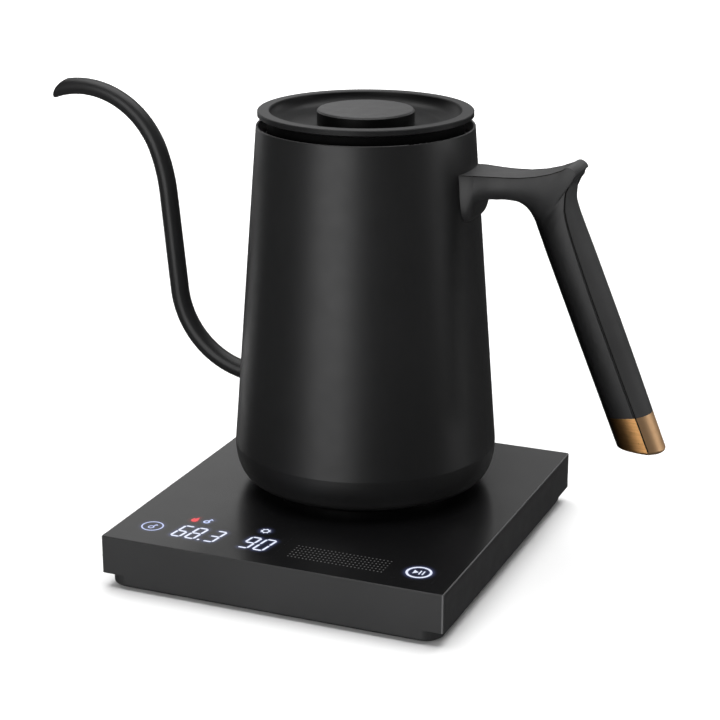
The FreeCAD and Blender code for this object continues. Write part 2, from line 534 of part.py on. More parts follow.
# ---- lid -----------------------------------------------------------------------------------
RI = LID_R - LID_RIM
t = 0.3
lid_edges = [
    line((LID_R, 0, LID_TOP - t), (LID_R, 0, LID_TOP - 2.1)),
    line((LID_R, 0, LID_TOP - 2.1), (NECK_R + 0.6, 0, LID_TOP - 3.5)),
    line((NECK_R + 0.6, 0, LID_TOP - 3.5), (NECK_R - 2.1, 0, LID_TOP - 3.5)),
]
dish = Part.BSplineCurve()
dish.interpolate([V(RI - 0.4, 0, LID_TOP - 0.35), V(RI - 1.2, 0, LID_TOP - 2.2), V(RI - 3.2, 0, LID_TOP - 4.2),
                  V(RI - 7.5, 0, LID_TOP - 5.4), V(RI - 13.5, 0, LID_TOP - 5.75)],
                 InitialTangent=V(-0.25, 0, -1), FinalTangent=V(-1, 0, 0))
lid_edges += [
    line((NECK_R - 2.1, 0, LID_TOP - 3.5), (NECK_R - 4.6, 0, LID_TOP - 5.8)),
    line((NECK_R - 4.6, 0, LID_TOP - 5.8), (RI - 8.0, 0, LID_TOP - 7.0)),
    line((RI - 8.0, 0, LID_TOP - 7.0), (2.2, 0, LID_TOP - 7.0)),
    line((2.2, 0, LID_TOP - 7.0), (2.2, 0, LID_TOP - 5.75)),
    line((2.2, 0, LID_TOP - 5.75), (RI - 13.5, 0, LID_TOP - 5.75)),
    dish.toShape(),
    line((RI - 0.4, 0, LID_TOP - 0.35), (RI, 0, LID_TOP)),
    line((RI, 0, LID_TOP), (LID_R - t, 0, LID_TOP)),
    line((LID_R - t, 0, LID_TOP), (LID_R, 0, LID_TOP - t)),
]
lid = rev_edges(Part.__sortEdges__(lid_edges))
put("lid_top", lid)
knob = rev([(0, LID_TOP - 5.75), (KNOB_R - 0.2, LID_TOP - 5.75), (KNOB_R, LID_TOP - 5.4), (KNOB_R, KNOB_TOP - 0.8),
            (KNOB_R - 0.6, KNOB_TOP - 0.15), (KNOB_R - 1.2, KNOB_TOP), (0, KNOB_TOP)])
knob = knob.cut(Part.makeCylinder(1.6, 5.0, V(0, 0, LID_TOP - 6)))
put("lid_knob", knob)
neck = rev([(NECK_R - 2.0, LID_TOP - 3.5), (NECK_R, LID_TOP - 3.5), (NECK_R, 150.2), (NECK_R - 0.8, 149.4),
            (NECK_R - 0.8, 145.8), (43.3, 145.8), (43.3, LEDGE_Z + 0.3), (42.9, LEDGE_Z), (30.0, LEDGE_Z),
            (30.0, LEDGE_Z + 1.6), (NECK_R - 3.4, LEDGE_Z + 1.6), (NECK_R - 3.4, LID_TOP - 6.2),
            (NECK_R - 2.0, LID_TOP - 5.2)])
LS = [(33.0 * math.cos(math.radians(a)), 33.0 * math.sin(math.radians(a))) for a in (90, 210, 330)]
for sx, sy in LS:
    neck = neck.cut(Part.makeCylinder(1.1, 6, V(sx, sy, LEDGE_Z - 2)))
put("lid_neck", neck)
seal = rev([(NECK_R - 0.8, 145.8), (42.4, 145.8), (43.65, 146.9), (43.65, 147.3), (42.2, 147.0), (42.2, 147.5),
            (43.5, 148.6), (43.5, 149.0), (41.6, 148.7), (40.6, 149.4), (NECK_R - 0.8, 149.4)])
put("lid_seal", seal)
under = ring(0, 41.0, LEDGE_Z - 0.9, LEDGE_Z)
for sx, sy in LS:
    under = under.cut(Part.makeCylinder(1.2, 3, V(sx, sy, LEDGE_Z - 2)))
for a in range(0, 360, 60):
    under = under.cut(Part.makeCylinder(1.25, 3, V(12 * math.cos(math.radians(a)), 12 * math.sin(math.radians(a)),
                                                    LEDGE_Z - 2)))
put("lid_under_plate", under)
put("lid_screws", [Part.makeCylinder(2.1, 1.1, V(x, y, LEDGE_Z - 2.0)).fuse(
    Part.makeCylinder(1.05, 3.4, V(x, y, LEDGE_Z - 1.0))) for x, y in LS])
put("knob_screw", Part.makeCylinder(3.4, 1.8, V(0, 0, LID_TOP - 8.8)).fuse(
    Part.makeCylinder(1.55, 5.6, V(0, 0, LID_TOP - 7.1))))
ledge = Part.makeCylinder(70, 1.0, V(0, 0, LEDGE_Z - 1.0)).common(cavity)
ledge = one(ledge.cut(Part.makeCylinder(41.8, 3, V(0, 0, LEDGE_Z - 2))))
put("mouth_ledge", ledge)

# ---- write ---------------------------------------------------------------------------------
for old in os.listdir("parts"):
    if old.endswith(".step") and old[:-5] not in NODES:
        os.remove(os.path.join("parts", old))
bb = FreeCAD.BoundBox()
for name, shape in NODES.items():
    s = shape.copy()
    s.translate(V(AXIS_X, AXIS_Y, BASE_Z))
    if not s.isValid():
        print("INVALID", name)
    bb.add(s.BoundBox)
    s.exportStep("parts/%s.step" % name)
print(len(NODES), "nodes; box", [round(v, 2) for v in (bb.XMin, bb.XMax, bb.YMin, bb.YMax, bb.ZMin, bb.ZMax)])
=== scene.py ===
import bpy
import bmesh
import math
from mathutils import Matrix, Vector


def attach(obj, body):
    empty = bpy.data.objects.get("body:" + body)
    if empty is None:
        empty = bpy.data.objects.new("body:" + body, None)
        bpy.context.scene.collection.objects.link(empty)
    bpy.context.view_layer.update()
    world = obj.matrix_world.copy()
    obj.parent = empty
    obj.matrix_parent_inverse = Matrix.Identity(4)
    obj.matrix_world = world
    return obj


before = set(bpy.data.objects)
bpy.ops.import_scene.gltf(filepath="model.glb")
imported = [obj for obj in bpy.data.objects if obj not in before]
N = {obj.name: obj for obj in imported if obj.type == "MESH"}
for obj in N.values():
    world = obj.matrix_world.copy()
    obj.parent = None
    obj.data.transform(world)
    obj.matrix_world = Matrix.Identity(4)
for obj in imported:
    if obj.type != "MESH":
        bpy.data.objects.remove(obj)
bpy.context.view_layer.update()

scene = bpy.context.scene
MM = 0.001
AX, AY, TOP = 0.0074, 0.020, 0.0223        # vessel axis, and the base's top face
U0, V0 = -0.0659, -0.08085                  # front left corner of the base's top


# ---- material kit ---------------------------------------------------------------------------
class Kit:
    """One node material, built up link by link."""

    def __init__(self, name):
        self.m = bpy.data.materials.new(name)
        self.m.use_nodes = True
        self.t = self.m.node_tree
        self.t.nodes.clear()
        self.out = self.t.nodes.new("ShaderNodeOutputMaterial")
        self.b = self.t.nodes.new("ShaderNodeBsdfPrincipled")
        self.t.links.new(self.b.outputs[0], self.out.inputs["Surface"])
        self.co = self.t.nodes.new("ShaderNodeTexCoord").outputs["Object"]

    def n(self, kind, **kw):
        x = self.t.nodes.new(kind)
        for k, v in kw.items():
            setattr(x, k, v)
        return x

    def link(self, a, b):
        self.t.links.new(a, b)

    def put(self, socket, v):
        if isinstance(v, bpy.types.NodeSocket):
            self.link(v, socket)
        else:
            socket.default_value = v

    def math(self, op, a, b=0.0, c=0.0, clamp=False):
        x = self.n("ShaderNodeMath", operation=op, use_clamp=clamp)
        for s, v in zip(x.inputs, (a, b, c)):
            self.put(s, v)
        return x.outputs[0]

    def vec(self, scale=(1, 1, 1), rot=(0, 0, 0), loc=(0, 0, 0), src=None):
        x = self.n("ShaderNodeMapping")
        self.link(src or self.co, x.inputs["Vector"])
        x.inputs["Scale"].default_value = scale
        x.inputs["Rotation"].default_value = rot
        x.inputs["Location"].default_value = loc
        return x.outputs[0]

    def noise(self, scale, detail=3.0, rough=0.55, vec=None, dist=0.0):
        x = self.n("ShaderNodeTexNoise")
        self.link(vec or self.co, x.inputs["Vector"])
        x.inputs["Scale"].default_value = scale
        x.inputs["Detail"].default_value = detail
        x.inputs["Roughness"].default_value = rough
        x.inputs["Distortion"].default_value = dist
        return x.outputs["Fac"]

    def voronoi(self, scale, vec=None, feature="F1"):
        x = self.n("ShaderNodeTexVoronoi", feature=feature)
        self.link(vec or self.co, x.inputs["Vector"])
        x.inputs["Scale"].default_value = scale
        return x.outputs["Distance"]

    def remap(self, v, a, b, c, d, smooth=False):
        x = self.n("ShaderNodeMapRange")
        if smooth:
            x.interpolation_type = "SMOOTHSTEP"
        self.put(x.inputs["Value"], v)
        for k, w in zip(("From Min", "From Max", "To Min", "To Max"), (a, b, c, d)):
            x.inputs[k].default_value = w
        return x.outputs["Result"]

    def mix(self, f, a, b):
        x = self.n("ShaderNodeMix", data_type="RGBA")
        self.put(x.inputs["Factor"], f)
        for s, v in ((x.inputs["A"], a), (x.inputs["B"], b)):
            pass
        cols = [s for s in x.inputs if s.type == "RGBA"]
        for s, v in zip(cols, (a, b)):
            self.put(s, (*v, 1.0) if isinstance(v, tuple) and len(v) == 3 else v)
        return [s for s in x.outputs if s.type == "RGBA"][0]

    def bump(self, h, distance, strength=1.0, normal=None):
        x = self.n("ShaderNodeBump")
        self.put(x.inputs["Height"], h)
        x.inputs["Distance"].default_value = distance
        x.inputs["Strength"].default_value = strength
        if normal is not None:
            self.link(normal, x.inputs["Normal"])
        return x.outputs["Normal"]

    def normal(self):
        """Smooth surface direction in the piece's own axes, as three numbers."""
        geo = self.n("ShaderNodeNewGeometry")
        tc = self.n("ShaderNodeVectorTransform", vector_type="NORMAL", convert_from="WORLD", convert_to="OBJECT")
        self.link(geo.outputs["Normal"], tc.inputs[0])
        ns = self.n("ShaderNodeSeparateXYZ")
        self.link(tc.outputs[0], ns.inputs[0])
        return ns.outputs[0], ns.outputs[1], ns.outputs[2]

    def tint(self, mask, c, rough=None):
        """Another tone, and if wanted another gloss, where the mask is 1."""
        src = self.b.inputs["Base Color"].links[0].from_socket
        self.set(color=self.mix(mask, src, c))
        if rough is not None:
            r = self.b.inputs["Roughness"]
            src = r.links[0].from_socket if r.links else r.default_value
            keep = self.math("MULTIPLY", src, self.math("SUBTRACT", 1.0, mask))
            self.set(rough=self.math("ADD", keep, self.math("MULTIPLY", mask, rough)))
        return self

    def set(self, **kw):
        names = {"color": "Base Color", "rough": "Roughness", "metal": "Metallic", "spec": "Specular IOR Level",
                 "normal": "Normal", "coat": "Coat Weight", "coat_rough": "Coat Roughness", "sheen": "Sheen Weight",
                 "sheen_rough": "Sheen Roughness", "ior": "IOR", "emit": "Emission Color", "power": "Emission Strength",
                 "aniso": "Anisotropic", "trans": "Transmission Weight"}
        for k, v in kw.items():
            self.put(self.b.inputs[names[k]], (*v, 1.0) if isinstance(v, tuple) and len(v) == 3 else v)
        return self


def tone(c, k):
    return tuple(min(1.0, x * k) for x in c)


def plastic(name, c, rough=0.5, spec=0.35, grain=2600.0, depth=0.000006, spread=0.12, seed=0.0, rvar=0.05):
    """Moulded plastic: fine eroded texture, slow change in tone, slightly uneven gloss."""
    k = Kit(name)
    v = k.vec(loc=(seed, seed * 0.7, -seed))
    slow = k.noise(38.0, 2.0, vec=v)
    fine = k.noise(grain, 2.0, 0.6, vec=v)
    cells = k.voronoi(grain * 0.55, vec=v)
    col = k.mix(k.remap(slow, 0.3, 0.7, 0.0, 1.0), tone(c, 1 - spread), tone(c, 1 + spread))
    h = k.math("ADD", fine, k.math("MULTIPLY", cells, 0.5))
    r = k.math("ADD", k.remap(k.noise(160.0, 4.0, vec=v), 0.25, 0.75, rough - rvar, rough + rvar),
               k.remap(fine, 0.3, 0.7, -0.03, 0.03))
    return k.set(color=col, rough=r, spec=spec, normal=k.bump(h, depth))


def metal(name, c, rough=0.3, axis=(1, 1, 1), grain=900.0, depth=0.000004, spread=0.10, seed=0.0):
    """Metal with drawn or cast grain along one axis: scale is small along the grain."""
    k = Kit(name)
    v = k.vec(scale=axis, loc=(seed, -seed, seed * 0.5))
    lines = k.noise(grain, 3.0, 0.7, vec=v)
    slow = k.noise(45.0, 3.0)
    col = k.mix(k.remap(lines, 0.3, 0.7, 0.0, 1.0), tone(c, 1 - spread), tone(c, 1 + spread))
    col = k.mix(k.remap(slow, 0.35, 0.75, 0.0, 0.25), col, tone(c, 0.75))
    r = k.remap(lines, 0.3, 0.7, rough - 0.07, rough + 0.09)
    return k.set(color=col, rough=r, metal=1.0, normal=k.bump(lines, depth))


def rubber(name, c, rough=0.75, seed=0.0):
    k = Kit(name)
    v = k.vec(loc=(seed, 0, seed))
    f = k.noise(1500.0, 4.0, 0.7, vec=v)
    dust = k.noise(90.0, 5.0, 0.6, vec=v)
    col = k.mix(k.remap(dust, 0.5, 0.8, 0.0, 0.5), c, tone(c, 1.9))
    return k.set(color=col, rough=k.remap(f, 0.3, 0.7, rough - 0.08, rough + 0.08), spec=0.25,
                 normal=k.bump(f, 0.00002))


def board(name):
    """Solder mask with the copper tracks showing through as raised lines, and tinned pads."""
    k = Kit(name)
    br = k.n("ShaderNodeTexBrick")
    k.link(k.vec(scale=(1, 1, 1), rot=(0, 0, 0.0)), br.inputs["Vector"])
    br.inputs["Scale"].default_value = 62.0
    br.inputs["Mortar Size"].default_value = 0.045
    br.inputs["Mortar Smooth"].default_value = 0.2
    br.offset = 0.33
    track = br.outputs["Fac"]
    pads = k.remap(k.voronoi(190.0), 0.16, 0.20, 1.0, 0.0)
    fibre = k.noise(2400.0, 2.0)
    col = k.mix(track, (0.006, 0.055, 0.028), (0.012, 0.105, 0.045))
    col = k.mix(k.remap(fibre, 0.3, 0.7, 0, 0.3), col, (0.004, 0.04, 0.02))
    col = k.mix(pads, col, (0.62, 0.60, 0.55))
    k.set(color=col, rough=k.remap(pads, 0, 1, 0.28, 0.42), metal=k.math("MULTIPLY", pads, 0.9), spec=0.5,
          normal=k.bump(k.math("ADD", track, pads), 0.00003))
    return k


# ---- materials of the outside ----------------------------------------------------------------
def vessel_paint(name, inside=True, c=(0.0090, 0.0090, 0.0094), rough=0.42):
    """Powder-fine matte black paint outside; spun stainless steel inside."""
    k = Kit(name)
    slow = k.noise(24.0, 2.0)
    fine = k.noise(2200.0, 2.0, 0.5)
    peel = k.noise(420.0, 2.0, 0.5)
    col = k.mix(k.remap(slow, 0.3, 0.7, 0, 1), tone(c, 0.92), tone(c, 1.08))
    r = k.math("ADD", k.remap(k.noise(120.0, 3.0), 0.3, 0.7, rough - 0.025, rough + 0.025),
               k.remap(fine, 0.3, 0.7, -0.02, 0.02))
    h = k.math("ADD", k.math("MULTIPLY", fine, 0.6), k.math("MULTIPLY", peel, 0.8))
    nrm = k.bump(h, 0.0000035)
    if not inside:
        # painted shade: darker where the surface faces up, and rougher there
        nx, ny, nz = k.normal()
        k.set(color=col, rough=r, spec=0.26, normal=nrm)
        return k.tint(k.remap(nz, 0.35, 0.9, 0.0, 0.9), (0.0020, 0.0020, 0.0021), 0.50)
    # inside: the normal points to the axis
    sep = k.n("ShaderNodeSeparateXYZ")
    k.link(k.co, sep.inputs[0])
    geo = k.n("ShaderNodeNewGeometry")
    tc = k.n("ShaderNodeVectorTransform", vector_type="NORMAL", convert_from="WORLD", convert_to="OBJECT")
    k.link(geo.outputs["Normal"], tc.inputs[0])
    ns = k.n("ShaderNodeSeparateXYZ")
    k.link(tc.outputs[0], ns.inputs[0])
    dx = k.math("SUBTRACT", sep.outputs[0], AX)
    dy = k.math("SUBTRACT", sep.outputs[1], AY)
    rad = k.math("SQRT", k.math("ADD", k.math("MULTIPLY", dx, dx), k.math("MULTIPLY", dy, dy)))
    dot = k.math("DIVIDE", k.math("ADD", k.math("MULTIPLY", dx, ns.outputs[0]), k.math("MULTIPLY", dy, ns.outputs[1])), rad)
    ang = k.math("ARCTAN2", dy, dx)
    steel_m = k.math("MULTIPLY", k.remap(dot, -0.75, -0.5, 1.0, 0.0), k.remap(sep.outputs[2], 0.04585, 0.04635, 0.0, 1.0))
    rings = k.n("ShaderNodeCombineXYZ")
    k.link(k.math("MULTIPLY", ang, 0.004), rings.inputs[0])
    k.link(sep.outputs[2], rings.inputs[1])
    k.link(rad, rings.inputs[2])
    spun = k.noise(1600.0, 3.0, 0.65, vec=rings.outputs[0])
    steel = k.mix(k.remap(spun, 0.3, 0.7, 0, 1), (0.40, 0.395, 0.39), (0.56, 0.555, 0.55))
    k.set(color=k.mix(steel_m, col, steel), metal=steel_m, spec=0.38,
          rough=k.math("ADD", k.math("MULTIPLY", r, k.math("SUBTRACT", 1.0, steel_m)),
                       k.math("MULTIPLY", k.remap(spun, 0.3, 0.7, 0.26, 0.42), steel_m)),
          normal=k.bump(k.math("MULTIPLY", spun, steel_m), 0.000004, normal=nrm))
    return k


def base_black(name, glow=False, edge_highlight=1.0):
    """Satin black casing; its top face is a smoother, glossier panel."""
    k = Kit(name)
    geo = k.n("ShaderNodeNewGeometry")
    ns = k.n("ShaderNodeSeparateXYZ")
    k.link(geo.outputs["Normal"], ns.inputs[0])
    up = k.remap(ns.outputs[2], 0.90, 0.97, 0.0, 1.0)
    slow = k.noise(20.0, 2.0)
    fine = k.noise(2600.0, 2.0, 0.5)
    dust = k.noise(700.0, 5.0, 0.7)
    side = k.mix(k.remap(slow, 0.3, 0.7, 0, 1), (0.0190, 0.0190, 0.0196), (0.0235, 0.0235, 0.0242))
    panel = k.mix(k.remap(slow, 0.3, 0.7, 0, 1), (0.0032, 0.0032, 0.0035), (0.0042, 0.0042, 0.0045))
    panel = k.mix(k.remap(dust, 0.62, 0.85, 0, 0.3), panel, (0.012, 0.012, 0.012))
    # painted highlight: the vertical corners and the left and right top edges are lightened; painted shade: the front
    # and back top edges are darkened
    flat = k.math("MAXIMUM", k.math("ABSOLUTE", ns.outputs[0]), k.math("ABSOLUTE", ns.outputs[1]))
    low = k.remap(ns.outputs[2], 0.05, 0.3, 1.0, 0.0)
    corner = k.math("MULTIPLY", k.remap(flat, 0.95, 0.995, 1.0, 0.0), low)
    rim = k.math("MULTIPLY", k.remap(ns.outputs[2], 0.10, 0.35, 0.0, 1.0), k.remap(ns.outputs[2], 0.80, 0.95, 1.0, 0.0))
    ends = k.math("MULTIPLY", rim, k.remap(k.math("ABSOLUTE", ns.outputs[1]), 0.2, 0.4, 0.0, 1.0))
    rim = k.math("MULTIPLY", rim, k.remap(k.math("ABSOLUTE", ns.outputs[0]), 0.2, 0.4, 0.0, 1.0))
    side = k.mix(ends, side, (0.0030, 0.0030, 0.0032))
    side = k.mix(k.math("MULTIPLY", k.math("MAXIMUM", corner, k.math("MULTIPLY", rim, 0.5)), edge_highlight), side, (0.120, 0.120, 0.122))
    col = k.mix(up, side, panel)
    r_side = k.remap(k.noise(140.0, 3.0), 0.3, 0.7, 0.40, 0.46)
    r_top = k.remap(k.noise(60.0, 3.0), 0.3, 0.7, 0.225, 0.265)
    r = k.math("ADD", k.math("MULTIPLY", r_side, k.math("SUBTRACT", 1.0, up)), k.math("MULTIPLY", r_top, up))
    h = k.math("MULTIPLY", fine, k.math("SUBTRACT", 1.0, k.math("MULTIPLY", up, 0.75)))
    k.set(color=col, rough=r, spec=0.5, normal=k.bump(h, 0.000004))
    if glow:
        a = k.n("ShaderNodeAttribute", attribute_type="GEOMETRY", attribute_name="glow")
        red = k.n("ShaderNodeAttribute", attribute_type="GEOMETRY", attribute_name="red")
        tint = k.mix(red.outputs["Fac"], (0.20, 0.24, 0.55), (0.55, 0.01, 0.01))
        k.set(emit=tint, power=k.math("MULTIPLY", a.outputs["Fac"], 0.27))
    return k


def bronze(name):
    """Brushed and tinted end cap: fine lines round the grip; painted shade makes it darker on the side towards the
    vessel and duller on its rear side.
    """
    k = Kit(name)
    v = k.vec(scale=(0.06, 0.06, 1.0), rot=(0, 0.384, 0))
    lines = k.noise(2300.0, 3.0, 0.7, vec=v)
    slow = k.noise(60.0, 2.0)
    nx, ny, nz = k.normal()
    col = k.mix(k.remap(lines, 0.3, 0.7, 0, 1), (0.74, 0.38, 0.135), (0.96, 0.52, 0.200))
    col = k.mix(k.remap(slow, 0.35, 0.7, 0, 0.3), col, (0.56, 0.28, 0.12))
    # painted shade: the rear side is dulled and the side towards the vessel is made nearly black
    col = k.mix(k.remap(nx, 0.15, 0.55, 0.0, 0.85), col, (0.60, 0.40, 0.235))
    col = k.mix(k.remap(nx, -0.08, -0.62, 0.0, 0.93), col, (0.030, 0.018, 0.008))
    rear = k.remap(nx, 0.2, 0.5, 0.0, 0.22)
    return k.set(color=col, metal=1.0, rough=k.math("ADD", k.remap(lines, 0.3, 0.7, 0.27, 0.37), rear),
                 normal=k.bump(lines, 0.000006))


BLACK = (0.0125, 0.0125, 0.0130)
STEEL = (0.52, 0.515, 0.51)
BRASS = (0.72, 0.50, 0.20)
MATS = {
    "base_shell": base_black("m_base_shell"),
    "base_tray": base_black("m_base_tray", edge_highlight=0.0),
    "rubber_feet": rubber("m_rubber_feet", (0.018, 0.018, 0.018), seed=0.2),
    "cord_gland": rubber("m_cord_gland", (0.014, 0.014, 0.014), 0.62, seed=0.5),
    "base_socket": plastic("m_base_socket", (0.016, 0.016, 0.017), 0.42, 0.45, seed=2.0),
    "shutter_ring": plastic("m_shutter_ring", (0.035, 0.035, 0.037), 0.38, 0.45, seed=3.0),
    "vessel": vessel_paint("m_vessel"),
    "spout_tube": vessel_paint("m_spout", inside=False, c=(0.0125, 0.0125, 0.0130), rough=0.36),
    "bottom_cover": plastic("m_bottom_cover", (0.012, 0.012, 0.0125), 0.5, seed=4.0),
    "kettle_plug": plastic("m_kettle_plug", (0.018, 0.018, 0.019), 0.42, 0.45, seed=5.0),
    "handle_body": plastic("m_handle_body", (0.0150, 0.0150, 0.0155), 0.46, 0.42, seed=6.0),
    "handle_rear_cover": plastic("m_handle_rear", (0.0270, 0.0270, 0.0275), 0.62, 0.30, seed=7.0),
    "handle_end_cap": bronze("m_end_cap"),
    "lid_top": plastic("m_lid_top", (0.0100, 0.0100, 0.0104), 0.44, 0.12, seed=8.0),
    "lid_knob": plastic("m_lid_knob", (0.0190, 0.0190, 0.0195), 0.46, 0.24, seed=9.0),
    # painted shade: the neck is made near-black to stand for the shade in the gap under the lid
    "lid_neck": plastic("m_lid_neck", (0.0010, 0.0010, 0.0011), 0.7, 0.08, seed=10.0),
    "lid_seal": rubber("m_lid_seal", (0.010, 0.010, 0.010), 0.6, seed=0.9),
    "lid_under_plate": metal("m_lid_plate", STEEL, 0.30, (0.05, 1, 1), seed=0.1),
    "mouth_ledge": metal("m_ledge", STEEL, 0.30, (1, 1, 0.1), seed=0.2),
    "heating_plate": metal("m_plate", STEEL, 0.28, (0.05, 1, 1), 1200, seed=0.3),
    "heat_spreader": metal("m_spreader", (0.60, 0.60, 0.61), 0.42, seed=0.4),
    "heating_element": metal("m_element", (0.50, 0.50, 0.51), 0.5, grain=500, depth=0.00002, seed=0.5),
    "temperature_probe": metal("m_probe", STEEL, 0.22, (1, 1, 0.06), seed=0.6),
    "probe_seal": rubber("m_probe_seal", (0.42, 0.42, 0.41), 0.5, seed=1.2),
    "thermal_cutout": metal("m_cutout", (0.55, 0.55, 0.54), 0.33, seed=0.7),
    "kettle_contacts": metal("m_kettle_contacts", BRASS, 0.22, (1, 1, 0.08), seed=0.8),
    "base_contacts": metal("m_base_contacts", BRASS, 0.22, (1, 1, 0.08), seed=0.9),
    "handle_bracket": metal("m_bracket", STEEL, 0.34, (0.06, 1, 1), seed=1.1),
    "handle_screw": metal("m_handle_screw", (0.10, 0.10, 0.105), 0.36, seed=1.2),
    "control_board": board("m_control_board"),
    "power_board": board("m_power_board"),
    "display_module": plastic("m_display_module", (0.60, 0.60, 0.58), 0.5, 0.5, seed=11.0),
    "touch_electrodes": metal("m_electrodes", (0.75, 0.42, 0.25), 0.3, (0.1, 1, 1), seed=1.3),
    "lock_key_electrode": metal("m_lock_electrode", (0.75, 0.42, 0.25), 0.3, (0.1, 1, 1), seed=1.4),
    "buzzer": plastic("m_buzzer", (0.012, 0.012, 0.012), 0.4, 0.5, seed=12.0),
    "relay": plastic("m_relay", (0.02, 0.09, 0.30), 0.35, 0.5, seed=13.0),
    "film_capacitor": plastic("m_film_cap", (0.55, 0.36, 0.03), 0.3, 0.5, seed=14.0),
    "transformer": plastic("m_transformer", (0.50, 0.36, 0.06), 0.35, 0.5, seed=15.0),
    "heat_sink": metal("m_heat_sink", (0.62, 0.62, 0.63), 0.36, (1, 1, 0.06), seed=1.5),
    "power_triac": plastic("m_triac", (0.012, 0.012, 0.012), 0.45, 0.5, seed=16.0),
    "terminal_block": plastic("m_terminal", (0.03, 0.16, 0.05), 0.4, 0.5, seed=17.0),
}
# painted shade: the grip is darker on the side towards the vessel and along the edges of its arm, and a painted
# highlight lightens its upward faces
for piece, amount in (("handle_body", 0.85), ("handle_rear_cover", 0.0)):
    k = MATS[piece]
    nx, ny, nz = k.normal()
    if amount:
        k.tint(k.remap(nx, 0.02, -0.60, 0.0, 1.0), (0.0012, 0.0012, 0.0013), 0.27)
        edge = k.math("MULTIPLY", k.remap(nz, 0.45, 0.62, 0.0, 1.0), k.remap(nz, 0.72, 0.86, 1.0, 0.0))
        k.tint(k.math("MULTIPLY", edge, 0.75), (0.0030, 0.0030, 0.0032), 0.60)
        k.tint(k.remap(nz, 0.86, 0.95, 0.0, 1.0), (0.0240, 0.0240, 0.0245))
# painted shade darkens the knob's side, and a painted highlight lightens its top
k = MATS["lid_knob"]
nz = k.normal()[2]
k.tint(k.remap(nz, 0.05, 0.35, 1.0, 0.0), (0.0016, 0.0016, 0.0017), 0.40)
k.tint(k.remap(nz, 0.90, 0.98, 0.0, 1.0), (0.0400, 0.0400, 0.0407))
# painted shade darkens the dish inside the rim, and a painted highlight lightens the rim's top
k = MATS["lid_top"]
nz = k.normal()[2]
sep = k.n("ShaderNodeSeparateXYZ")
k.link(k.co, sep.inputs[0])
dx, dy = k.math("SUBTRACT", sep.outputs[0], AX), k.math("SUBTRACT", sep.outputs[1], AY)
rad = k.math("SQRT", k.math("ADD", k.math("MULTIPLY", dx, dx), k.math("MULTIPLY", dy, dy)))
k.tint(k.remap(rad, 0.0394, 0.0399, 1.0, 0.0), (0.0036, 0.0036, 0.0038), 0.42)
rim = k.math("MULTIPLY", k.remap(rad, 0.0394, 0.0399, 0.0, 1.0), k.remap(nz, 0.90, 0.98, 0.0, 1.0))
k.tint(rim, (0.0320, 0.0320, 0.0326), 0.46)
for i, s in enumerate(("tray_screws", "board_screws", "bottom_screws", "lid_screws", "knob_screw")):
    MATS[s] = metal("m_" + s, (0.50, 0.50, 0.49), 0.30, grain=1500, seed=2.0 + i)
for name, ob in N.items():
    m = MATS[name].m
    if ob.data.materials:
        for i in range(len(ob.data.materials)):
            ob.data.materials[i] = m
    else:
        ob.data.materials.append(m)


# ---- display, keys and slider on the base's top ----------------------------------------------
def seg_digit(u0, v0, w, h, t, slant, on):
    g = 0.16

    def S(u, v):
        return (u0 + u + slant * v, v0 + v)

    def hbar(v, a, b):
        return [S(a + g, v), S(a + g + t / 2, v + t / 2), S(b - g - t / 2, v + t / 2), S(b - g, v),
                S(b - g - t / 2, v - t / 2), S(a + g + t / 2, v - t / 2)]

    def vbar(u, a, b):
        return [S(u, a + g), S(u + t / 2, a + g + t / 2), S(u + t / 2, b - g - t / 2), S(u, b - g),
                S(u - t / 2, b - g - t / 2), S(u - t / 2, a + g + t / 2)]
    L, R, B, M, T = t / 2, w - t / 2, t / 2, h / 2, h - t / 2
    segs = {"a": hbar(T, L, R), "b": vbar(R, M, T), "c": vbar(R, B, M), "d": hbar(B, L, R), "e": vbar(L, B, M),
            "f": vbar(L, M, T), "g": hbar(M, L, R)}
    return [segs[c] for c in on]


def disc(u, v, r, n=20):
    return [(u + r * math.cos(2 * math.pi * i / n), v + r * math.sin(2 * math.pi * i / n)) for i in range(n)]


def bar(a, b, t):
    d = Vector((b[0] - a[0], b[1] - a[1])).normalized()
    p = Vector((-d.y, d.x)) * t / 2
    return [(a[0] + p.x, a[1] + p.y), (a[0] - p.x, a[1] - p.y), (b[0] - p.x, b[1] - p.y), (b[0] + p.x, b[1] + p.y)]


def arc_band(u, v, r0, r1, a0=0.0, a1=360.0, n=48):
    """List of quads that make a ring or part of one."""
    out = []
    for i in range(n):
        p, q = (math.radians(a0 + (a1 - a0) * (i + j) / n) for j in (0, 1))
        out.append([(u + r0 * math.cos(p), v + r0 * math.sin(p)), (u + r1 * math.cos(p), v + r1 * math.sin(p)),
                    (u + r1 * math.cos(q), v + r1 * math.sin(q)), (u + r0 * math.cos(q), v + r0 * math.sin(q))])
    return out


